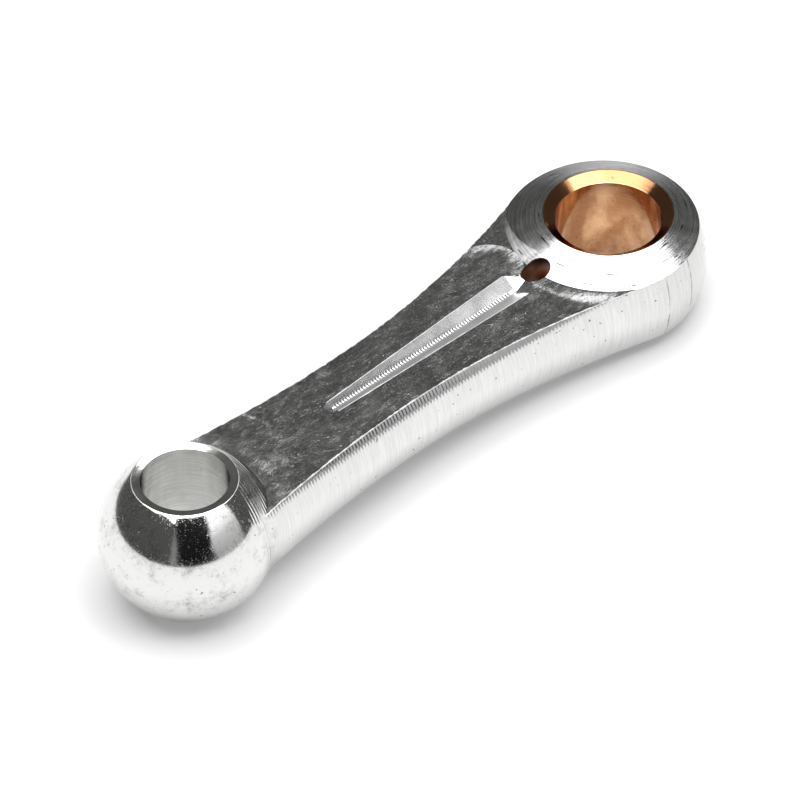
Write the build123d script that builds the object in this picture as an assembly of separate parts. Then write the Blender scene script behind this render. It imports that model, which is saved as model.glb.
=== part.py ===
"""Connecting rod for a small two-stroke model engine: turned rod body and pressed-in big-end bush.

Frame: millimetres, origin at the centre of the crank-pin bore, +Z along the bores,
+X from the big end towards the small end, oil groove on the +Z face.
"""
from math import atan2, cos, degrees, hypot, sin, sqrt
import os

from build123d import *

# overall sizes
centre_distance = 26.9        # crank-pin bore axis to gudgeon-pin bore axis
big_end_radius = 4.9          # turned nose of the big end, about the long axis
small_end_radius = 4.03       # ball of the small end
waist_radius = 2.87           # thinnest turned section of the shank
waist_x = 15.2                # where that section lies
big_end_flare = 50.0          # hollow arc from the waist to the big end
small_end_rise = 0.918        # radius gained from the waist to the small-end axis
neck_fillet = 4.0             # blends the shank into the ball
neck_sink = 0.03              # the blend runs this far into the ball

# hollow arc from the waist to the small end: the one that gains that radius over that distance
small_end_run = centre_distance - waist_x
small_end_flare = (small_end_run ** 2 + small_end_rise ** 2) / (2 * small_end_rise)

# faces across the bores
big_end_half = 2.36           # bush face above the middle plane
small_end_half = 3.25         # small-end face above the middle plane
flat_half = 1.7               # milled shank flats above the middle plane
face_slope = 0.38             # drop of the coned big-end face per mm outwards

# bores and bush
crank_bore_radius = 2.5       # running bore in the bush
gudgeon_bore_radius = 2.0     # running bore in the bare small end
bush_radius = 3.05            # outside of the bush and the seat it is pressed into
bush_chamfer_land = 0.04      # flat left outside the mouth chamfer of the bush
bush_chamfer_depth = 0.36     # depth of that chamfer
bush_lower_break = 0.08       # edge break of the lower mouth
rim_land = 0.03               # flat left outside the dished small-end rim
rim_dish_depth = 0.04         # depth of the dish

# oil way
oil_hole_radius = 0.6
oil_start_inside = 0.12       # hole starts this far inside the foot of the coned face
groove_end_x = 18.1           # narrow end
groove_wide_half = 0.8
groove_narrow_half = 0.36
groove_wide_depth = 0.42
groove_narrow_depth = 0.18
groove_nose_length = 0.35     # slope of the narrow end back up to the flat
groove_tip_share = 0.1        # width and depth left at the very tip, as a share of the narrow end

# how far tools reach past the surfaces they cut
over = 1.0
groove_lift = 0.15            # height of the groove cutter's sides above the flat


def neckArc():
    """Start, middle and end of the arc that blends the shank into the ball."""
    flareCentre = (waist_x, waist_radius + small_end_flare)
    toFlare = small_end_flare - neck_fillet
    toBall = small_end_radius - neck_sink + neck_fillet
    dx = centre_distance - waist_x
    dz = -flareCentre[1]
    gap = hypot(dx, dz)
    along = (toFlare ** 2 - toBall ** 2 + gap ** 2) / (2 * gap)
    aside = sqrt(toFlare ** 2 - along ** 2)
    centreX = flareCentre[0] + (along * dx + aside * dz) / gap
    centreZ = flareCentre[1] + (along * dz - aside * dx) / gap
    first = atan2(centreZ - flareCentre[1], centreX - flareCentre[0])
    last = atan2(-centreZ, centre_distance - centreX)

    def onArc(angle):
        return (centreX + neck_fillet * cos(angle), centreZ + neck_fillet * sin(angle))

    return onArc(first), onArc((first + last) / 2), onArc(last)


def turnedBody():
    """Everything the lathe makes: big-end nose, hollow shank and ball, turned about X."""
    flareCentre = waist_radius + big_end_flare
    reach = big_end_radius + big_end_flare
    noseX = waist_x - sqrt(reach ** 2 - flareCentre ** 2)
    tangentX = noseX + (waist_x - noseX) * big_end_radius / reach
    tangentR = flareCentre * big_end_radius / reach
    tip = (noseX - big_end_radius, 0)
    middle = (atan2(0, -1) + atan2(tangentR, tangentX - noseX)) / 2
    noseMid = (noseX + big_end_radius * cos(middle), big_end_radius * sin(middle))

    def flareRadius(x, flare):
        return waist_radius + flare - sqrt(flare ** 2 - (x - waist_x) ** 2)

    neckStart, neckMid, neckEnd = neckArc()
    bigMidX = (tangentX + waist_x) / 2
    smallMidX = (neckStart[0] + waist_x) / 2
    with BuildSketch(Plane.XZ) as section:
        with BuildLine():
            ThreePointArc(tip, noseMid, (tangentX, tangentR))
            ThreePointArc(
                (tangentX, tangentR),
                (bigMidX, flareRadius(bigMidX, big_end_flare)),
                (waist_x, waist_radius),
            )
            ThreePointArc(
                (waist_x, waist_radius),
                (smallMidX, flareRadius(smallMidX, small_end_flare)),
                neckStart,
            )
            ThreePointArc(neckStart, neckMid, neckEnd)
            Line(neckEnd, (neckEnd[0], 0))
            Line((neckEnd[0], 0), tip)
        make_face()
    return revolve(section.sketch, Axis.X)


def coneFoot():
    """Distance from the bore axis at which the coned face meets the shank flat."""
    return bush_radius + (big_end_half - flat_half) / face_slope


def faceEnvelope():
    """Space left by the milling cutters: a slab between the flats and a coned boss."""
    length = centre_distance + big_end_radius + small_end_radius + 2 * over
    width = 2 * (big_end_radius + over)
    slab = Pos(centre_distance / 2, 0, 0) * Box(length, width, 2 * flat_half)
    with BuildSketch(Plane.XZ) as section:
        with BuildLine():
            Polyline(
                (0, -big_end_half),
                (bush_radius, -big_end_half),
                (coneFoot(), -flat_half),
                (coneFoot(), flat_half),
                (bush_radius, big_end_half),
                (0, big_end_half),
                close=True,
            )
        make_face()
    return slab + revolve(section.sketch, Axis.Z)


def smallEndBall():
    """Ball of the small end with its two faces cut flat."""
    width = 2 * (small_end_radius + over)
    faces = Pos(centre_distance, 0, 0) * Box(width, width, 2 * small_end_half)
    return (Pos(centre_distance, 0, 0) * Sphere(small_end_radius)) & faces


def rimDish():
    """Shallow cones that dish both rims of the small end towards the bore."""
    rimRadius = sqrt(small_end_radius ** 2 - small_end_half ** 2) - rim_land
    dishes = []
    for side in (1, -1):
        cone = Cone(gudgeon_bore_radius, rimRadius, rim_dish_depth)
        turned = cone if side > 0 else Rot(180, 0, 0) * cone
        height = side * (small_end_half - rim_dish_depth / 2)
        dishes.append(Pos(centre_distance, 0, height) * turned)
    return dishes


def oilHole():
    """Slanted drilling from the foot of the coned face to the middle of the bore wall."""
    startX = coneFoot() - oil_start_inside
    rise = flat_half
    run = startX - crank_bore_radius
    slant = degrees(atan2(run, rise))
    inside = crank_bore_radius / 2
    length = hypot(run, rise) + inside + 2 * over
    centre = (hypot(run, rise) - inside + 2 * over) / 2
    drill = Cylinder(oil_hole_radius, length)
    return Pos(crank_bore_radius, 0, 0) * Rot(0, slant, 0) * Pos(0, 0, centre) * drill


def grooveSection(x, half, depth):
    """Vee across the groove at x, its sloping sides carried on above the flat."""
    widen = (depth + groove_lift) / depth
    return Plane.YZ.offset(x) * Polygon(
        (-half * widen, flat_half + groove_lift),
        (0, flat_half - depth),
        (half * widen, flat_half + groove_lift),
        align=None,
    )


def oilGroove():
    """Tapered vee from the narrow end to the oil hole, closed by a sloping nose."""
    startX = coneFoot() - oil_start_inside
    noseX = groove_end_x - groove_nose_length
    tipHalf = groove_narrow_half * groove_tip_share
    tipDepth = groove_narrow_depth * groove_tip_share
    narrow = grooveSection(noseX, groove_narrow_half, groove_narrow_depth)
    main = loft([grooveSection(startX, groove_wide_half, groove_wide_depth), narrow])
    nose = loft([narrow, grooveSection(groove_end_x, tipHalf, tipDepth)])
    return main, nose


def buildBush():
    """Bronze bush: wide chamfer at the top mouth, broken edge below, oil hole through the wall."""
    bush = Cylinder(bush_radius, 2 * big_end_half) - Cylinder(crank_bore_radius, 2 * big_end_half + over)
    mouth = Cone(crank_bore_radius, bush_radius - bush_chamfer_land, bush_chamfer_depth)
    lowerMouth = Cone(crank_bore_radius + bush_lower_break, crank_bore_radius, bush_lower_break)
    bush -= Pos(0, 0, big_end_half - bush_chamfer_depth / 2) * mouth
    bush -= Pos(0, 0, bush_lower_break / 2 - big_end_half) * lowerMouth
    return bush - oilHole()


def buildRod():
    """Aluminium rod: turned blank, milled faces, ball, bores, oil groove and oil hole."""
    rod = turnedBody() & faceEnvelope()
    rod += smallEndBall()
    rod -= Cylinder(bush_radius, 2 * big_end_half + over)
    rod -= Pos(centre_distance, 0, 0) * Cylinder(gudgeon_bore_radius, 2 * small_end_half + over)
    for dish in rimDish():
        rod -= dish
    for cut in oilGroove():
        rod -= cut
    return rod - oilHole()


def main():
    os.makedirs("parts", exist_ok=True)
    export_step(buildRod(), "parts/rod_body.step")
    export_step(buildBush(), "parts/big_end_bush.step")


main()
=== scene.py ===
from math import atan2, cos, hypot, pi, radians, sin, sqrt

import bpy
from mathutils import Matrix, Vector


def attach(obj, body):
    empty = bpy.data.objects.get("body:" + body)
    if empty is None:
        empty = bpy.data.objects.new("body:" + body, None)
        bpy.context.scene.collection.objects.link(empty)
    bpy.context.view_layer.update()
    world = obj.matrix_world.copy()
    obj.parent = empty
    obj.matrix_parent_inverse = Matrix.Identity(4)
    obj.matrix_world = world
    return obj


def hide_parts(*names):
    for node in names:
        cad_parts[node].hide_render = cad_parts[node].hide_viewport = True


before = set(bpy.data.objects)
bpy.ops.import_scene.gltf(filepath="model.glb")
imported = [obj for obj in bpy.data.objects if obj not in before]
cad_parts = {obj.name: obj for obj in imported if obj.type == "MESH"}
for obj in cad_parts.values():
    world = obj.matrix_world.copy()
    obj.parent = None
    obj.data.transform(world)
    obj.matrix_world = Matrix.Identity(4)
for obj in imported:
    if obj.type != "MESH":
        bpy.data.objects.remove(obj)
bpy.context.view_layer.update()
mm = 0.001

# the rod is laid out in millimetres and brought to metres when a piece is finished
rod = {
    "eyeDistance": 26.9,  # between the two bore axes
    "noseRadius": 4.9,
    "ballRadius": 4.03,
    "waistRadius": 2.87,
    "waistX": 15.2,
    "bigFlare": 50.0,  # hollow arc from the waist to the big end
    "smallFlare": 75.0,  # hollow arc from the waist to the small end
    "neckFillet": 4.0,
    "neckSink": 0.03,  # the fillet runs this far into the ball
    "flatHalf": 1.7,  # milled flats above the middle plane
    "smallFaceHalf": 3.25,
    "bigFaceHalf": 2.36,
    "faceSlope": 0.38,  # fall of the coned face per mm outwards
    "seatRadius": 3.05,
    "smallBore": 2.0,
    "rimLand": 0.03,  # flat outside the dished rim
    "rimDish": 0.04,
    "rimEdge": 0.045,  # edge break outside the land
    "rimOver": 0.03,  # how far that break runs onto the ball
    "toolMarks": (-0.65, 0.9),  # x of the two lathe grooves round the nose
    "markDepth": 0.012,
    "markWidth": 0.07,
}

# how finely the meshes are made
mesh = {
    "turns": 256,  # round the long axis and the coned face
    "boreTurns": 192,
    "drillTurns": 96,
    "ballRings": 128,
    "noseSteps": 72,
    "bigFlareSteps": 60,
    "smallFlareSteps": 40,
    "neckSteps": 24,
    "spinMerge": 0.0005,
    "weld": 0.002,
    "smoothAngle": 14,
    "over": 9,  # half size of the blocks that trim the rod
}

print("stage: tools for the mesh")


def pick(piece):
    # one piece active and selected, nothing else
    if bpy.context.mode != "OBJECT":
        bpy.ops.object.mode_set(mode="OBJECT")
    bpy.ops.object.select_all(action="DESELECT")
    piece.select_set(True)
    bpy.context.view_layer.objects.active = piece


def startLine(name, place):
    # a single point to draw an outline from
    if bpy.context.mode != "OBJECT":
        bpy.ops.object.mode_set(mode="OBJECT")
    bpy.ops.object.select_all(action="DESELECT")
    bpy.ops.mesh.primitive_plane_add(size=1)
    piece = bpy.context.active_object
    piece.name = name
    piece.data.name = name
    bpy.ops.object.mode_set(mode="EDIT")
    bpy.ops.mesh.merge(type="CENTER")
    bpy.ops.transform.translate(value=place)
    return piece


def drawLine(points):
    # extrudes the last point along the outline
    here = Vector(points[0])
    for point in points[1:]:
        step = Vector(point) - here
        bpy.ops.mesh.extrude_region_move(TRANSFORM_OT_translate={"value": step})
        here = Vector(point)


def turn(name, outline, centre, axis, steps):
    # an outline spun once round an axis into a closed solid
    piece = startLine(name, outline[0])
    drawLine(outline)
    bpy.ops.mesh.select_all(action="SELECT")
    bpy.ops.mesh.spin(steps=steps, angle=2 * pi, center=centre, axis=axis, use_auto_merge=True)
    bpy.ops.mesh.select_all(action="SELECT")
    bpy.ops.mesh.remove_doubles(threshold=mesh["spinMerge"])
    bpy.ops.mesh.select_all(action="SELECT")
    bpy.ops.mesh.normals_make_consistent(inside=False)
    bpy.ops.object.mode_set(mode="OBJECT")
    return piece


def boxOf(name, low, high):
    bpy.ops.object.select_all(action="DESELECT")
    bpy.ops.mesh.primitive_cube_add(size=1)
    piece = bpy.context.active_object
    piece.name = name
    piece.scale = [top - bottom for bottom, top in zip(low, high)]
    piece.location = [(bottom + top) / 2 for bottom, top in zip(low, high)]
    bpy.ops.object.transform_apply(location=True, rotation=True, scale=True)
    return piece


def paint(piece, material):
    piece.data.materials.clear()
    piece.data.materials.append(material)
    return piece


def cut(piece, tool, how):
    # one solid joined to, kept inside or taken out of another; faces keep their own finish
    pick(piece)
    step = piece.modifiers.new("cut", "BOOLEAN")
    step.operation = how
    step.solver = "EXACT"
    step.material_mode = "TRANSFER"
    step.object = tool
    bpy.ops.object.modifier_apply(modifier=step.name)
    bpy.data.objects.remove(tool)


def finishMesh(piece):
    # clean, in metres, smooth except at real edges
    pick(piece)
    bpy.ops.object.mode_set(mode="EDIT")
    bpy.ops.mesh.select_all(action="SELECT")
    bpy.ops.mesh.remove_doubles(threshold=mesh["weld"])
    bpy.ops.mesh.select_all(action="SELECT")
    bpy.ops.mesh.normals_make_consistent(inside=False)
    bpy.ops.object.mode_set(mode="OBJECT")
    pick(piece)
    piece.scale = (mm, mm, mm)
    bpy.ops.object.transform_apply(location=True, rotation=True, scale=True)
    bpy.ops.object.shade_smooth_by_angle(angle=radians(mesh["smoothAngle"]))
    print("  ", piece.name, "faces", len(piece.data.polygons))


print("stage: finishes")


class Wire:
    # a socket that can be used in plain sums
    def __init__(self, finish, socket):
        self.finish = finish
        self.socket = socket

    def sum(self, kind, other, swap=False):
        pair = (other, self) if swap else (self, other)
        return self.finish.node("ShaderNodeMath", {"operation": kind}, {0: pair[0], 1: pair[1]})

    def __add__(self, other):
        return self.sum("ADD", other)

    def __radd__(self, other):
        return self.sum("ADD", other, True)

    def __sub__(self, other):
        return self.sum("SUBTRACT", other)

    def __rsub__(self, other):
        return self.sum("SUBTRACT", other, True)

    def __mul__(self, other):
        return self.sum("MULTIPLY", other)

    def __rmul__(self, other):
        return self.sum("MULTIPLY", other, True)

    def __truediv__(self, other):
        return self.sum("DIVIDE", other)

    def __pow__(self, other):
        return self.sum("POWER", other)


class Finish:
    def __init__(self, name):
        self.material = bpy.data.materials.new(name)
        self.material.use_nodes = True
        self.nodes = self.material.node_tree.nodes
        self.links = self.material.node_tree.links
        self.shader = self.nodes["Principled BSDF"]
        place = self.node("ShaderNodeTexCoord", out="Object")
        self.place = self.node("ShaderNodeVectorMath", {"operation": "SCALE"}, {0: place, "Scale": 1 / mm})
        parts = self.nodes.new("ShaderNodeSeparateXYZ")
        self.links.new(self.place.socket, parts.inputs[0])
        self.x, self.y, self.z = (Wire(self, parts.outputs[axis]) for axis in "XYZ")

    def node(self, kind, settings=None, inputs=None, out=0):
        made = self.nodes.new(kind)
        for key, value in (settings or {}).items():
            if key == "stops":
                ramp = made.color_ramp
                while len(ramp.elements) < len(value):
                    ramp.elements.new(1)
                for element, (spot, shade) in zip(ramp.elements, value):
                    element.position = spot
                    element.color = (shade, shade, shade, 1)
            else:
                setattr(made, key, value)
        for key, value in (inputs or {}).items():
            self.plug(made.inputs[key], value)
        return Wire(self, made.outputs[out])

    def plug(self, socket, value):
        if isinstance(value, Wire):
            self.links.new(value.socket, socket)
        else:
            socket.default_value = value

    def set(self, **values):
        for key, value in values.items():
            self.plug(self.shader.inputs[key.replace("_", " ")], value)

    def cloud(self, place, scale, detail, rough):
        return self.node("ShaderNodeTexNoise", None, {
            "Vector": place, "Scale": scale, "Detail": detail, "Roughness": rough})

    def noise(self, scale, detail, rough, stretch=(1, 1, 1)):
        spot = self.node("ShaderNodeVectorMath", {"operation": "MULTIPLY"}, {0: self.place, 1: stretch})
        return self.cloud(spot, scale, detail, rough)

    def size(self, value):
        return self.node("ShaderNodeMath", {"operation": "ABSOLUTE"}, {0: value})

    def polar(self, centre):
        # distance and direction round an upright axis
        x, y = self.x - centre[0], self.y - centre[1]
        away = self.node("ShaderNodeMath", {"operation": "SQRT"}, {0: x * x + y * y})
        angle = self.node("ShaderNodeMath", {"operation": "ARCTAN2"}, {0: y, 1: x})
        return away, angle

    def rings(self, away, angle, stretch, detail, rough):
        # streaks that follow circles round an axis
        spot = self.node("ShaderNodeCombineXYZ", None, {0: away * stretch[0], 1: angle * stretch[1], 2: 0.0})
        return self.cloud(spot, 1.0, detail, rough)

    def band(self, value, low, high, start=0.0, end=1.0):
        return self.node("ShaderNodeMapRange", {"interpolation_type": "SMOOTHSTEP"}, {
            0: value, 1: low, 2: high, 3: start, 4: end})

    def window(self, value, rise, fall):
        # 1 between the two pairs, 0 outside them
        return self.band(value, *rise) * self.band(value, *fall, 1.0, 0.0)

    def spots(self, cloud, level, soft):
        return self.band(cloud, level, level + soft)

    def wave(self, value, pitch):
        return self.node("ShaderNodeMath", {"operation": "SINE"}, {0: value * (2 * pi / pitch)})

    def mixColour(self, factor, first, second):
        return self.node("ShaderNodeMix", {"data_type": "RGBA"}, {
            0: factor, 6: first, 7: second}, out=2)

    def bump(self, height, depth):
        # height in units of depth, which is in millimetres
        return self.node("ShaderNodeBump", None, {"Strength": 1.0, "Distance": depth * mm, "Height": height})


wide = (0.3, 0.75)  # levels of a cloud that spread it from dark to light
edgeBurr = {  # hair-thin burr where the flats meet the turned sides
    "cloud": (1.9, 3.0, 0.6, (1.6, 0.1, 0.1)),
    "soft": 0.6,  # share of its width over which it fades
    "dull": 0.4,
}

turnedLook = {
    "colour": (0.72, 0.72, 0.715, 1),
    "shine": (0.08, 0.14),
    "depth": 0.01,
    # ridges left by the lathe tool
    "pitch": 0.19, "wander": 0.05, "chatter": (0.9, 2.0, 0.5),
    "ridge": 0.3, "ridgeElsewhere": 0.015, "neck": 2.6,
    "shankStart": (1.6, 3.0), "shankEnd": (25.4, 26.2), "neckStart": (23.9, 24.5),
    "fine": 0.1, "fineCloud": (3.0, 4.0, 0.7, (9, 0.25, 0.25)),
    "lineShade": 0.12, "lineCloud": (2.0, 3.0, 0.6, (7, 0.3, 0.3)), "lineBand": (0.3, 0.7),
    # pits, dust, grime
    "pitCloud": (5.5, 1.0, 0.3), "pitLevel": 0.75, "pitSoft": 0.04, "pitDepth": 0.8, "pitShade": 0.35,
    "dustCloud": (16.0, 3.0, 0.6), "dustLevel": 0.56, "dustSoft": 0.16, "dustHeight": 0.09,
    "dust": 0.1, "ballDust": 0.12,
    "smearCloud": (0.35, 4.0, 0.6, (1, 1.6, 1.6)),
    "grimeCloud": (0.9, 6.0, 0.75), "grimeLevel": 0.52, "grimeSoft": 0.26, "grimeShade": 0.9,
    "ballStart": (24.0, 25.0), "ballCloud": (1.1, 7.0, 0.8), "ballLevel": 0.48, "ballSoft": 0.27, "ballGrime": 0.55,
    "noseRange": (-1.0, 3.0), "noseShade": 0.9,
    # the two lathe grooves round the nose, painted darker as shade in the grooves
    "markBand": (0.06, 0.015), "markCloud": (1.3, 3.0, 0.6), "markLevel": (0.3, 0.6), "paintedMarkShade": 0.5,
    # burr along the edges of the flats
    "burrWidth": (0.0, 0.05), "burrStart": (1.2, 1.8), "burrEnd": (23.4, 23.8),
}


def turnedFinish(name, look):
    # bright turned metal with fine ridges round the long axis
    f = Finish(name)
    ridges = f.wave(f.x + f.noise(*look["chatter"]) * look["wander"], look["pitch"])
    pits = f.spots(f.noise(*look["pitCloud"]), look["pitLevel"], look["pitSoft"])
    dust = f.spots(f.noise(*look["dustCloud"]), look["dustLevel"], look["dustSoft"])
    grime = f.spots(f.noise(*look["grimeCloud"]), look["grimeLevel"], look["grimeSoft"])
    onBall = f.band(f.x, *look["ballStart"])
    onShank = f.window(f.x, look["shankStart"], look["shankEnd"]) * f.band(f.x, *look["neckStart"], 1.0, look["neck"])
    burrWidth = f.band(f.noise(*edgeBurr["cloud"]), *wide, *look["burrWidth"])
    burr = f.band(rod["flatHalf"] - f.size(f.z), burrWidth, burrWidth * edgeBurr["soft"])
    burr = burr * f.window(f.x, look["burrStart"], look["burrEnd"])
    height = ridges * (onShank * look["ridge"] + look["ridgeElsewhere"]) + f.noise(*look["fineCloud"]) * look["fine"]
    height = height - pits * look["pitDepth"] + dust * look["dustHeight"]
    # lines round the shank painted darker in the base colour as shade of the lathe ridges
    lineShade = f.band(f.noise(*look["lineCloud"]), *look["lineBand"], look["lineShade"], 0.0) * (1.0 - onBall)
    ballGrime = onBall * f.spots(f.noise(*look["ballCloud"]), look["ballLevel"], look["ballSoft"])
    shade = (1.0 - lineShade) * f.band(grime, 0.0, 1.0, 1.0, look["grimeShade"])
    shade = shade * (1.0 - ballGrime * look["ballGrime"]) * f.band(pits, 0.0, 1.0, 1.0, look["pitShade"])
    # the base colour along the two lathe grooves is painted darker as shade in the grooves
    for x in rod["toolMarks"]:
        paintedMarkShade = f.band(f.size(f.x - x), *look["markBand"]) * f.band(f.noise(*look["markCloud"]), *look["markLevel"])
        shade = shade * (1.0 - paintedMarkShade * look["paintedMarkShade"])
    shade = shade * f.band(f.x, *look["noseRange"], look["noseShade"], 1.0)
    roughness = f.band(f.noise(*look["smearCloud"]), *wide, *look["shine"]) + burr * edgeBurr["dull"]
    f.set(
        Base_Color=f.mixColour(shade, (0, 0, 0, 1), look["colour"]),
        Metallic=1.0,
        Roughness=roughness + dust * (onBall * look["ballDust"] + look["dust"]),
        Normal=f.bump(height, look["depth"]),
    )
    return f.material


groove = {
    "nearX": 5.45, "rampX": 6.05, "farX": 17.77, "endX": 18.15,
    "wideHalf": 0.8, "wideDepth": 0.42, "narrowHalf": 0.36, "narrowDepth": 0.18,
    "mouthHalf": 0.4, "mouthDepth": 0.0504, "endHalf": 0.24, "endDepth": 0.07,
    "pitch": 0.17,  # of the cutter teeth along its bottom
    # rounded vee, in half widths and depths; its sides are carried on above the flat
    "section": (
        (-1.4, 0.4), (-0.27, -0.83), (-0.2, -0.9), (-0.1, -0.97), (0, -1),
        (0.1, -0.97), (0.2, -0.9), (0.27, -0.83), (1.4, 0.4),
    ),
}


def grooveHalf(f):
    # half width of the groove at any x along it
    share = (groove["farX"] - f.x) / (groove["farX"] - groove["rampX"])
    return share * (groove["wideHalf"] - groove["narrowHalf"]) + groove["narrowHalf"]


milledLook = {
    "colour": ((0.42, 0.42, 0.425, 1), (0.88, 0.88, 0.875, 1)), "colourBand": (0.36, 0.64),
    "shine": (0.09, 0.21), "shineBand": (0.35, 0.8),
    "depth": 0.0012,
    # hairline scratches: direction, stretch, scale, level
    "scratches": ((0.5, 16.0, 1.1, 0.62), (-0.9, 18.0, 1.2, 0.64), (1.9, 16.0, 1.1, 0.64), (0.05, 20.0, 1.0, 0.62)),
    "hairCloud": (1.0, 3.0, 0.6), "hairSoft": 0.08, "hair": -0.3,
    "gritCloud": (14.0, 3.0, 0.7), "grit": 0.9,
    "speckCloud": (5.0, 1.0, 0.4), "speckLevel": 0.77, "speckSoft": 0.02, "specks": 0.9,
    "grainCloud": (9.0, 5.0, 0.8, (0.7, 1.3, 1)), "grain": 0.6,
    "mottleCloud": (0.7, 6.0, 0.7, (1, 1.6, 1)), "mottle": 0.4,
    "wipeCloud": (2.2, 6.0, 0.75, (0.7, 1.8, 1)),
    "bruiseCloud": (0.4, 6.0, 0.72), "bruiseBand": (0.45, 0.75), "bruise": 0.07,
    # arcs where the cutter turned back: centre, radius, width inside, width outside, first and last angle, strength
    "arcs": (
        ((6.15, -1.7), 1.6, 0.75, 0.06, -2.95, -1.6, 1.5),
        ((6.15, -1.7), 1.6, 0.75, 0.06, 1.9, 3.5, 1.5),
        ((0.0, 0.0), 5.5, 0.3, 0.2, 0.15, 0.5, 0.7),
        ((0.0, 0.0), 5.3, 0.6, 0.6, 0.55, 0.95, 1.6),
        ((26.9, 0.0), 6.35, 0.1, 0.18, -2.78, -2.6, 0.7),
        ((26.9, 0.0), 4.2, 0.3, 0.7, -4.0, 4.0, 0.3),
    ),
    "arcFade": 0.25, "streakCloud": (1.6, 5.0, 0.75, (0.8, 3.0, 1)), "streakBand": (0.3, 0.62), "dull": 0.2,
    # burrs along the outer edges and along the groove
    "burrWidth": (0.03, 0.1),
    "lipBand": (0.075, 0.04), "lipFade": 0.1, "lipDull": 0.4,
}


def milledFinish(name, look):
    # dull milled flats: hairline scratches, specks and the arcs left where the cutter turned back
    f = Finish(name)
    hair = 0.0
    for spin, stretch, scale, level in look["scratches"]:
        turned = f.node("ShaderNodeMapping", None, {"Vector": f.place, "Rotation": (0, 0, spin)})
        drawn = f.node("ShaderNodeVectorMath", {"operation": "MULTIPLY"}, {0: turned, 1: (scale, scale * stretch, 1)})
        hair = f.spots(f.cloud(drawn, *look["hairCloud"]), level, look["hairSoft"]) + hair
    specks = f.spots(f.noise(*look["speckCloud"]), look["speckLevel"], look["speckSoft"])
    arcs = 0.0
    fade = look["arcFade"]
    for centre, radius, inner, outer, low, high, strength in look["arcs"]:
        away, angle = f.polar(centre)
        rim = f.window(away, (radius - inner, radius), (radius, radius + outer))
        arcs = rim * f.window(angle, (low - fade, low), (high, high + fade)) * strength + arcs
    dull = arcs * f.band(f.noise(*look["streakCloud"]), *look["streakBand"])
    # distance in from the edge where the flat meets the turned sides
    offWaist = f.x - rod["waistX"]
    onBigSide = f.node("ShaderNodeMath", {"operation": "LESS_THAN"}, {0: f.x, 1: rod["waistX"]})
    flare = onBigSide * (rod["bigFlare"] - rod["smallFlare"]) + rod["smallFlare"]
    radius = flare + rod["waistRadius"] - (flare * flare - offWaist * offWaist) ** 0.5
    edge = (radius * radius - rod["flatHalf"] ** 2) ** 0.5
    burrWidth = f.band(f.noise(*edgeBurr["cloud"]), *wide, *look["burrWidth"])
    burr = f.band(edge - f.size(f.y), burrWidth, burrWidth * edgeBurr["soft"])
    lip = f.band(f.size(f.y) - grooveHalf(f), *look["lipBand"]) * f.window(
        f.x, (groove["rampX"], groove["rampX"] + look["lipFade"]), (groove["farX"], groove["farX"] + look["lipFade"]))
    patches = f.noise(*look["grainCloud"]) * look["grain"] + f.noise(*look["mottleCloud"]) * look["mottle"]
    roughness = f.band(f.noise(*look["wipeCloud"]), *look["shineBand"], *look["shine"])
    roughness = roughness + f.band(f.noise(*look["bruiseCloud"]), *look["bruiseBand"]) * look["bruise"]
    f.set(
        Base_Color=f.mixColour(f.band(patches, *look["colourBand"]), *look["colour"]),
        Metallic=1.0,
        Roughness=roughness + dull * look["dull"] + burr * edgeBurr["dull"] + lip * look["lipDull"],
        Normal=f.bump(
            hair * look["hair"] + f.noise(*look["gritCloud"]) * look["grit"] + specks * look["specks"], look["depth"]),
    )
    return f.material


facedLook = {
    "colour": ((0.36, 0.36, 0.365, 1), (0.70, 0.70, 0.70, 1)), "colourBand": (0.3, 0.7),
    "shine": (0.18, 0.26), "shineCloud": (1.1, 4.0, 0.6),
    "depth": 0.006,
    "rings": ((13.0, 0.9), 5.0, 0.7), "gritCloud": (8.0, 2.0, 0.6), "grit": 0.25,
    # sliver the shank cutter took off the foot
    "wedgeSlope": -1.03, "wedgeBase": 3.82, "wedgeSoft": 0.08, "wedgeStart": (-0.95, -0.85), "wedgeEnd": (-0.22, -0.15),
    "wedgeCloud": (1.2, 4.0, 0.7, (1, 4, 1)), "wedgeBand": (0.2, 0.6), "wedge": 0.2,
    "nicks": ((9.0, 2.2), 2.0, 0.5), "nickLevel": 0.65, "nickSoft": 0.03, "nickColour": (0.03, 0.03, 0.03, 1),
}


def facedFinish(name, look):
    # rings of a facing cut round the bore axis
    f = Finish(name)
    away, angle = f.polar((0, 0))
    rings = f.rings(away, angle, *look["rings"])
    nicks = f.spots(f.rings(away, angle, *look["nicks"]), look["nickLevel"], look["nickSoft"])
    wedgeEdge = angle * look["wedgeSlope"] + look["wedgeBase"]
    wedge = f.band(away, wedgeEdge, wedgeEdge + look["wedgeSoft"])
    wedge = wedge * f.window(angle, look["wedgeStart"], look["wedgeEnd"])
    wedge = wedge * f.band(f.noise(*look["wedgeCloud"]), *look["wedgeBand"])
    metal = f.mixColour(f.band(rings, *look["colourBand"]), *look["colour"])
    f.set(
        Base_Color=f.mixColour(nicks, metal, look["nickColour"]),
        Metallic=1.0,
        Roughness=f.band(f.noise(*look["shineCloud"]), *wide, *look["shine"]) + wedge * look["wedge"],
        Normal=f.bump(rings + f.noise(*look["gritCloud"]) * look["grit"], look["depth"]),
    )
    return f.material


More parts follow.
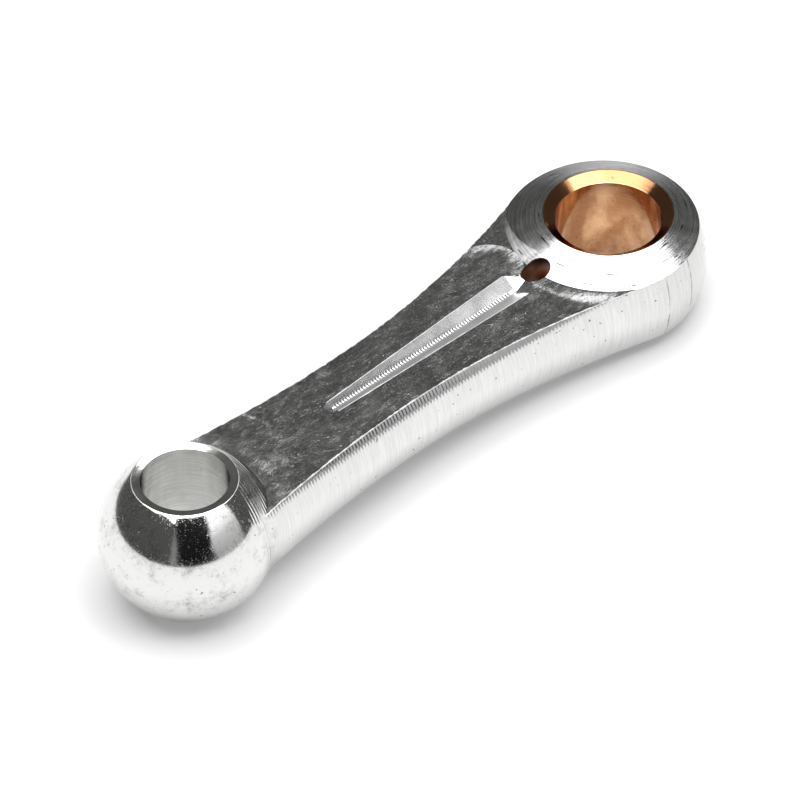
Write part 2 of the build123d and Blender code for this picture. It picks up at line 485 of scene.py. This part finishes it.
groovedLook = {
    "colour": ((0.72, 0.72, 0.73, 1), (0.78, 0.78, 0.79, 1)), "colourBand": (0.38, 0.62),
    "shine": (0.2, 0.23), "smearCloud": (0.9, 5.0, 0.6),
    "depth": 0.003, "grainCloud": (7.0, 4.0, 0.7, (0.4, 1.4, 1.4)), "grain": 0.12,
    # the toothed row: its two edges across the groove, slant, bite, and how far it keeps from the groove's ends
    "row": (-0.15, 0.03), "rowSoft": 0.03, "slant": 0.12, "bite": 0.06,
    "wander": 0.03, "wanderCloud": (1.5, 2.0, 0.5), "rowStart": (0.2, 0.5), "rowEnd": (-0.1, 0.0),
    "tooth": (0.35, 0.6), "toothShade": 0.9, "toothShadeColour": (0.05, 0.05, 0.05, 1), "toothDepth": 1.5, "rowDull": 0.12,
    # the near wall is duller, and its colour is painted darker as shade
    "nearDull": 0.3, "nearShade": 0.45, "nearShadeColour": (0.2, 0.2, 0.2, 1), "nearTeeth": 0.6,
}


def groovedFinish(name, look):
    # smooth far wall, a row of slanted cutter teeth along the bottom painted dark as shade, and a duller near wall
    # painted darker as shade
    f = Finish(name)
    lean = f.y / grooveHalf(f) * look["slant"]
    wander = f.noise(*look["wanderCloud"]) * look["wander"]
    teeth = f.wave(f.x + lean + wander, groove["pitch"]) * 0.5 + 0.5
    inRow = f.window(
        f.x, [groove["rampX"] + x for x in look["rowStart"]], [groove["farX"] + x for x in look["rowEnd"]])
    first, last = look["row"]
    soft = look["rowSoft"]
    row = f.window(f.y + (teeth - 0.5) * look["bite"], (first, first + soft), (last, last + soft)) * inRow
    near = f.band(f.y, last - soft, last) * inRow
    smear = f.noise(*look["smearCloud"])
    colour = f.mixColour(f.band(smear, *look["colourBand"]), *look["colour"])
    # the teeth along the bottom are painted dark as shade in the groove
    colour = f.mixColour(row * f.band(teeth, *look["tooth"]) * look["toothShade"], colour, look["toothShadeColour"])
    relief = teeth * (row * look["toothDepth"] + near * look["nearTeeth"])
    f.set(
        # the near wall is painted darker as shade
        Base_Color=f.mixColour(near * look["nearShade"], colour, look["nearShadeColour"]),
        Metallic=1.0,
        Roughness=f.band(smear, *wide, *look["shine"]) + near * look["nearDull"] + row * look["rowDull"],
        Normal=f.bump(f.noise(*look["grainCloud"]) * look["grain"] + relief, look["depth"]),
    )
    return f.material


boredLook = {
    "rings": (1.6, 4.0, 0.7, (0.22, 0.22, 8)), "coarse": (0.7, 2.0, 0.5, (0.3, 0.3, 6)),
    "smearCloud": (5.0, 0.6, (1, 1, 0.7)), "smearBand": (0.38, 0.62), "ringBand": (0.35, 0.65),
    "speckCloud": (6.0, 1.0, 0.4), "speckSoft": 0.04, "speckColour": (0.04, 0.03, 0.02, 1),
    "chamferSoft": 0.03,
    "burrCloud": (3.5, 2.0, 0.5), "burrBand": (0.25, 0.5, 0.35, 1.0), "burrSoft": 0.012,
}


def boredFinish(name, look):
    # reamed wall: fine rings along the bore, stained in streaks
    f = Finish(name)
    rings = f.noise(*boredLook["rings"])
    smear = f.noise(look["smear"], *boredLook["smearCloud"])
    specks = f.spots(f.noise(*boredLook["speckCloud"]), look["speckLevel"], boredLook["speckSoft"])
    shade = f.band(smear, *boredLook["smearBand"]) * (1.0 - look["ringShade"])
    shade = shade + f.band(rings, *boredLook["ringBand"]) * look["ringShade"]
    roughness = f.band(smear, *wide, *look["shine"])
    if "chamfer" in look:
        # the mouth chamfer is cut, not reamed, and duller; its colour is painted darker as shade
        start, dull, chamferShade = look["chamfer"]
        onChamfer = f.spots(f.z, start, boredLook["chamferSoft"])
        roughness = onChamfer * dull + roughness
        shade = shade * (1.0 - onChamfer * chamferShade)
    if "burrRing" in look:
        # hair-thin burr left round the rim of the eye
        centre, radius, dull = look["burrRing"]
        away, angle = f.polar((centre, 0.0))
        raised = f.band(f.noise(*boredLook["burrCloud"]), *boredLook["burrBand"])
        roughness = f.spots(away, radius, boredLook["burrSoft"]) * raised * dull + roughness
    metal = f.mixColour(shade, *look["colour"])
    f.set(
        Base_Color=f.mixColour(specks * look["speckShade"], metal, boredLook["speckColour"]),
        Metallic=1.0,
        Roughness=roughness,
        Normal=f.bump(rings + f.noise(*boredLook["coarse"]), look["depth"]),
    )
    return f.material


finishes = {
    "turned": turnedFinish("turnedAluminium", turnedLook),
    "milled": milledFinish("milledAluminium", milledLook),
    "faced": facedFinish("facedAluminium", facedLook),
    "grooved": groovedFinish("groovedAluminium", groovedLook),
    "bored": boredFinish("boredAluminium", {
        "colour": ((0.68, 0.68, 0.66, 1), (0.92, 0.92, 0.91, 1)), "shine": (0.07, 0.13), "depth": 0.006,
        "smear": 0.9, "ringShade": 0.6, "speckLevel": 0.78, "speckShade": 0.4,
        "burrRing": (rod["eyeDistance"], 2.378, 0.5),  # centre of the eye, where the burr starts, how dull it is
    }),
    "bronze": boredFinish("bushBronze", {
        "colour": ((0.40, 0.19, 0.09, 1), (0.79, 0.495, 0.28, 1)), "shine": (0.06, 0.12), "depth": 0.0015,
        "smear": 0.45, "ringShade": 0.12, "speckLevel": 0.72, "speckShade": 0.55,
        "chamfer": (2.0, 0.04, 1.0),  # height where the chamfer starts, how dull it is and how far it is painted darker as shade
    }),
    # walls of the oil hole painted dark as shade inside the hole
    "drilled": boredFinish("paintedShadeInOilHole", {
        "colour": ((0.22, 0.12, 0.08, 1), (0.45, 0.30, 0.22, 1)), "shine": (0.3, 0.5), "depth": 0.003,
        "smear": 1.4, "ringShade": 0.4, "speckLevel": 0.7, "speckShade": 0.5,
    }),
}

print("stage: turned blank")


def arc(centre, radius, first, last, steps):
    # points along an arc in the XZ plane, angles from +X towards +Z
    out = []
    for i in range(steps + 1):
        angle = first + (last - first) * i / steps
        out.append((centre[0] + radius * cos(angle), 0, centre[1] + radius * sin(angle)))
    return out


def noseAndFlare():
    # nose of the big end and the hollow arc down to the waist
    flareZ = rod["waistRadius"] + rod["bigFlare"]
    reach = rod["noseRadius"] + rod["bigFlare"]
    noseX = rod["waistX"] - sqrt(reach ** 2 - flareZ ** 2)
    lean = atan2(flareZ, rod["waistX"] - noseX)  # direction from the nose centre to the flare centre
    points = arc((noseX, 0), rod["noseRadius"], pi, lean, mesh["noseSteps"])
    points[0] = (points[0][0], 0, 0)
    return points + arc((rod["waistX"], flareZ), rod["bigFlare"], lean + pi, 1.5 * pi, mesh["bigFlareSteps"])[1:]


def flareAndNeck():
    # hollow arc from the waist and the fillet that blends it into the ball
    flareZ = rod["waistRadius"] + rod["smallFlare"]
    toFlare = rod["smallFlare"] - rod["neckFillet"]
    toBall = rod["ballRadius"] - rod["neckSink"] + rod["neckFillet"]
    dx, dz = rod["eyeDistance"] - rod["waistX"], -flareZ
    gap = hypot(dx, dz)
    along = (toFlare ** 2 - toBall ** 2 + gap ** 2) / (2 * gap)
    aside = sqrt(toFlare ** 2 - along ** 2)
    neckX = rod["waistX"] + (along * dx + aside * dz) / gap
    neckZ = flareZ + (along * dz - aside * dx) / gap
    first = atan2(neckZ - flareZ, neckX - rod["waistX"])
    last = atan2(-neckZ, rod["eyeDistance"] - neckX)
    points = arc((rod["waistX"], flareZ), rod["smallFlare"], -0.5 * pi, first, mesh["smallFlareSteps"])
    return points + arc((neckX, neckZ), rod["neckFillet"], first, last, mesh["neckSteps"])[1:]


def toolMark(x, before, after):
    # a small vee in the outline where it passes x
    slope = (after[2] - before[2]) / (after[0] - before[0])
    z = before[2] + slope * (x - before[0])
    half = rod["markWidth"] / 2
    return [(x - half, 0, z - slope * half), (x, 0, z - rod["markDepth"]), (x + half, 0, z + slope * half)]


def blankOutline():
    points = noseAndFlare() + flareAndNeck()[1:]
    marked = []
    for before, after in zip(points, points[1:]):
        marked.append(before)
        for x in rod["toolMarks"]:
            if before[0] < x <= after[0]:
                marked += toolMark(x, before, after)
    end = points[-1]
    return sorted(marked + [end], key=lambda point: point[0]) + [(end[0], 0, 0)]


blank = paint(turn("rodBody", blankOutline(), (0, 0, 0), (1, 0, 0), mesh["turns"]), finishes["turned"])

print("stage: milled faces")
slabEnd = 26  # inside the ball
coneEnd = 5.4  # the coned face runs on below the flats and past the turned nose
over = mesh["over"]
slab = boxOf("slab", (-over, -over, -rod["flatHalf"]), (slabEnd, over, rod["flatHalf"]))
paint(slab, finishes["milled"])
peak = rod["bigFaceHalf"] + rod["seatRadius"] * rod["faceSlope"]  # the seat is cut through it later
foot = peak - coneEnd * rod["faceSlope"]
boss = turn("boss", [
    (0, 0, -peak), (coneEnd, 0, -foot), (coneEnd, 0, foot), (0, 0, peak),
], (0, 0, 0), (0, 0, 1), mesh["turns"])
paint(boss, finishes["faced"])
cut(slab, boss, "UNION")
cut(blank, slab, "INTERSECT")

print("stage: small end")
eyeX = rod["eyeDistance"]
faceZ = rod["smallFaceHalf"]
bpy.ops.object.select_all(action="DESELECT")
bpy.ops.mesh.primitive_uv_sphere_add(
    segments=mesh["boreTurns"], ring_count=mesh["ballRings"], radius=rod["ballRadius"], location=(eyeX, 0, 0))
ball = bpy.context.active_object
bpy.ops.object.transform_apply(location=True, rotation=True, scale=True)
paint(ball, finishes["turned"])
trim = paint(boxOf("trim", (eyeX - over, -over, -faceZ), (eyeX + over, over, faceZ)), finishes["bored"])
cut(ball, trim, "INTERSECT")
cut(blank, ball, "UNION")

rimRadius = sqrt(rod["ballRadius"] ** 2 - faceZ ** 2) - rod["rimLand"]
edgeRadius = rimRadius + rod["rimLand"] + rod["rimOver"]
edgeZ = sqrt(rod["ballRadius"] ** 2 - edgeRadius ** 2)
landEnd = eyeX + edgeRadius - rod["rimEdge"]
reamer = turn("reamer", [
    (eyeX, 0, -faceZ - 1),
    (eyeX + edgeRadius, 0, -faceZ - 1),
    (eyeX + edgeRadius, 0, -edgeZ),
    (landEnd, 0, -faceZ),
    (eyeX + rod["smallBore"], 0, -faceZ + rod["rimDish"]),
    (eyeX + rod["smallBore"], 0, faceZ - rod["rimDish"]),
    (landEnd, 0, faceZ),
    (eyeX + edgeRadius, 0, edgeZ),
    (eyeX + edgeRadius, 0, faceZ + 1),
    (eyeX, 0, faceZ + 1),
], (eyeX, 0, 0), (0, 0, 1), mesh["boreTurns"])
paint(reamer, finishes["bored"])
cut(blank, reamer, "DIFFERENCE")

print("stage: bush seat, oil groove and oil hole")
seatReach = 4  # past the peak of the coned face
seat = turn("seat", [
    (0, 0, -seatReach), (rod["seatRadius"], 0, -seatReach), (rod["seatRadius"], 0, seatReach), (0, 0, seatReach),
], (0, 0, 0), (0, 0, 1), mesh["boreTurns"])
paint(seat, finishes["bored"])
cut(blank, seat, "DIFFERENCE")


def grooveTool():
    # rounded vee drawn once, then stepped along the shank and resized at each change of slope
    flat = rod["flatHalf"]
    x, half, depth = groove["endX"], groove["endHalf"], groove["endDepth"]
    ring = [(x, half * y, flat + depth * z) for y, z in groove["section"]]
    piece = startLine("grooveTool", ring[0])
    drawLine(ring)
    bpy.ops.mesh.select_all(action="SELECT")
    bpy.ops.mesh.edge_face_add()
    stations = [
        (groove["farX"], groove["narrowHalf"], groove["narrowDepth"]),
        (groove["rampX"], groove["wideHalf"], groove["wideDepth"]),
        (groove["nearX"], groove["mouthHalf"], groove["mouthDepth"]),
    ]
    for nextX, nextHalf, nextDepth in stations:
        bpy.ops.mesh.extrude_region_move(TRANSFORM_OT_translate={"value": (nextX - x, 0, 0)})
        bpy.ops.transform.resize(value=(1, nextHalf / half, nextDepth / depth), center_override=(nextX, 0, flat))
        x, half, depth = nextX, nextHalf, nextDepth
    bpy.ops.mesh.select_all(action="SELECT")
    bpy.ops.mesh.normals_make_consistent(inside=False)
    bpy.ops.object.mode_set(mode="OBJECT")
    return paint(piece, finishes["grooved"])


oilHole = {
    "radius": 0.6,
    "inward": 0.12,  # its axis starts this far inside the foot of the coned face
    "inner": 1.25, "outer": 2.0,  # how far the drill reaches past the bore wall and past the foot
}
bushSizes = {"bore": 2.5, "outside": 3.05, "land": 0.04, "chamfer": 0.36, "lowerBreak": 0.03, "half": 2.36}


def oilDrill():
    # slanted from the foot of the coned face to the middle of the bore wall
    coneFoot = rod["seatRadius"] + (rod["bigFaceHalf"] - rod["flatHalf"]) / rod["faceSlope"]
    run = coneFoot - oilHole["inward"] - bushSizes["bore"]
    lean = atan2(run, rod["flatHalf"])
    length = hypot(run, rod["flatHalf"])
    inner, outer = oilHole["inner"], oilHole["outer"]
    middle = (length + outer - inner) / 2
    bpy.ops.object.select_all(action="DESELECT")
    bpy.ops.mesh.primitive_cylinder_add(
        vertices=mesh["drillTurns"], radius=oilHole["radius"], depth=length + inner + outer,
        location=(bushSizes["bore"] + sin(lean) * middle, 0, cos(lean) * middle), rotation=(0, lean, 0))
    drill = bpy.context.active_object
    bpy.ops.object.transform_apply(location=True, rotation=True, scale=True)
    return paint(drill, finishes["drilled"])


cut(blank, grooveTool(), "DIFFERENCE")
cut(blank, oilDrill(), "DIFFERENCE")

print("stage: bush")
mouth = bushSizes["outside"] - bushSizes["land"]
wall = bushSizes["half"] - bushSizes["chamfer"]
lowWall = bushSizes["half"] - bushSizes["lowerBreak"]
bush = turn("bigEndBush", [
    (bushSizes["bore"], 0, -lowWall),
    (bushSizes["bore"] + bushSizes["lowerBreak"], 0, -bushSizes["half"]),
    (bushSizes["outside"], 0, -bushSizes["half"]),
    (bushSizes["outside"], 0, bushSizes["half"]),
    (mouth, 0, bushSizes["half"]),
    (bushSizes["bore"], 0, wall),
    (bushSizes["bore"], 0, -lowWall),
], (0, 0, 0), (0, 0, 1), mesh["boreTurns"])
paint(bush, finishes["bronze"])
cut(bush, oilDrill(), "DIFFERENCE")

finishMesh(blank)
finishMesh(bush)

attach(blank, "root")
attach(bush, "root")
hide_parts("rod_body")
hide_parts("big_end_bush")

print("stage: floor, light and camera")
view = {  # degrees and millimetres
    "elevation": 42.415, "heading": 43.971, "roll": -0.741,
    "distance": 326.68, "target": (13.982, 0.0975, 0.0), "lens": 326.9, "sensor": 36,
    "clip": (0.01, 5),  # metres
}
stage = {
    "floor": ((0.585, 0.585, 0.585, 1), (0.605, 0.605, 0.605, 1)), "floorCloud": (0.02, 2.0, 0.5),
    "floorGlow": 0.2, "floorRadius": 1.2, "floorSides": 96, "floorRoughness": 0.9,
    "floorGap": 0.01,  # millimetres under the lower edge of the bush seat
    # name, direction, distance, size, stops from the bottom edge up, strength
    "cards": (
        ("rightCard", (122, 36), 0.9, (0.8, 1.4), ((0.0, 0.3), (0.35, 0.5), (0.6, 1.0), (1.0, 1.0)), 1.5),
        ("darkCard", (169, 32), 0.56, (0.44, 0.72), ((0.0, 0.01), (1.0, 0.014)), 1.0),
        ("stripCard", (-164, 22), 0.84, (0.1, 0.7), ((0.0, 0.3), (1.0, 0.25)), 1.0),
        ("lensOpening", (0, 89.9), 0.69, (0.16, 0.16), ((0.0, 0.02), (1.0, 0.02)), 1.0),
    ),
    "room": (0.095, 0.094, 0.09, 1),
}


def fromView(right, away, up):
    # a direction named from the camera's side, turned into the rod's own axes
    turnBy = radians(view["heading"])
    x = cos(turnBy) * right + sin(turnBy) * away
    y = -sin(turnBy) * right + cos(turnBy) * away
    return Vector((-x, -y, up))


def toward(azimuth, elevation):
    # azimuth 0 is straight away from the camera, positive to its right
    a, e = radians(azimuth), radians(elevation)
    return fromView(sin(a) * cos(e), cos(a) * cos(e), sin(e))


def placeCamera():
    data = bpy.data.cameras.new("camera")
    camera = bpy.data.objects.new("camera", data)
    bpy.context.collection.objects.link(camera)
    data.lens = view["lens"]
    data.sensor_width = view["sensor"]
    data.clip_start, data.clip_end = view["clip"]
    tilt, roll = radians(view["elevation"]), radians(view["roll"])
    back = fromView(0, -cos(tilt), sin(tilt))
    side = fromView(cos(roll), sin(tilt) * sin(roll), cos(tilt) * sin(roll))
    upward = fromView(-sin(roll), sin(tilt) * cos(roll), cos(tilt) * cos(roll))
    spot = (Vector(view["target"]) + back * view["distance"]) * mm
    camera.matrix_world = Matrix.Translation(spot) @ Matrix((side, upward, back)).transposed().to_4x4()
    bpy.context.scene.camera = camera


def floorPlane():
    # leans so that the rod rests on the lower edges of its two ends
    f = Finish("paleFloor")
    f.set(
        Base_Color=f.mixColour(f.noise(*stage["floorCloud"]), *stage["floor"]),
        Roughness=stage["floorRoughness"],
        Specular_IOR_Level=0.0,
        Emission_Color=(1, 1, 1, 1),
        Emission_Strength=stage["floorGlow"],
    )
    bpy.ops.object.select_all(action="DESELECT")
    bpy.ops.mesh.primitive_circle_add(
        vertices=stage["floorSides"], radius=stage["floorRadius"], fill_type="NGON")
    floor = bpy.context.active_object
    floor.name = "floor"
    lean = atan2(faceZ - rod["bigFaceHalf"], eyeX - rimRadius + rod["seatRadius"])
    floor.rotation_euler = (0, lean, 0)
    floor.location = Vector((-rod["seatRadius"], 0, -rod["bigFaceHalf"] - stage["floorGap"])) * mm
    paint(floor, f.material)


def softbox(name, height, size, glow, edge):
    # square light straight above, one edge along the given direction
    data = bpy.data.lights.new(name, "AREA")
    data.shape = "SQUARE"
    data.size = size
    data.energy = glow * size * size * pi  # watts that give this brightness
    lamp = bpy.data.objects.new(name, data)
    bpy.context.collection.objects.link(lamp)
    lamp.location = Vector(view["target"]) * mm + Vector((0, 0, height))
    along = fromView(*edge, 0)
    lamp.rotation_euler = (0, 0, atan2(along.y, along.x))


def card(name, direction, distance, size, stops, strength):
    # a plain card that only shows as a reflection
    f = Finish(name)
    height = f.band(f.y * mm, -0.5, 0.5)
    fade = f.node("ShaderNodeValToRGB", {"stops": stops}, {0: height})
    f.set(Base_Color=(0, 0, 0, 1), Specular_IOR_Level=0.0, Emission_Color=fade, Emission_Strength=strength)
    bpy.ops.object.select_all(action="DESELECT")
    bpy.ops.mesh.primitive_plane_add(size=1)
    piece = bpy.context.active_object
    piece.name = name
    piece.scale = (*size, 1)
    way = toward(*direction)
    piece.location = Vector(view["target"]) * mm + way * distance
    piece.rotation_mode = "QUATERNION"
    side = Vector((0, 0, 1)).cross(way).normalized()
    piece.rotation_quaternion = Matrix((side, way.cross(side), way)).transposed().to_quaternion()
    piece.visible_camera = False
    paint(piece, f.material)


placeCamera()
floorPlane()
softbox("overheadSoftbox", height=0.7, size=0.917, glow=5.0, edge=(0.566, -0.824))
for row in stage["cards"]:
    card(*row)
world = bpy.data.worlds.new("room")
world.use_nodes = True
world.node_tree.nodes["Background"].inputs["Color"].default_value = stage["room"]
world.node_tree.nodes["Background"].inputs["Strength"].default_value = 1.0
bpy.context.scene.world = world
bpy.context.scene.view_settings.view_transform = "Standard"

bpy.ops.object.select_all(action="DESELECT")
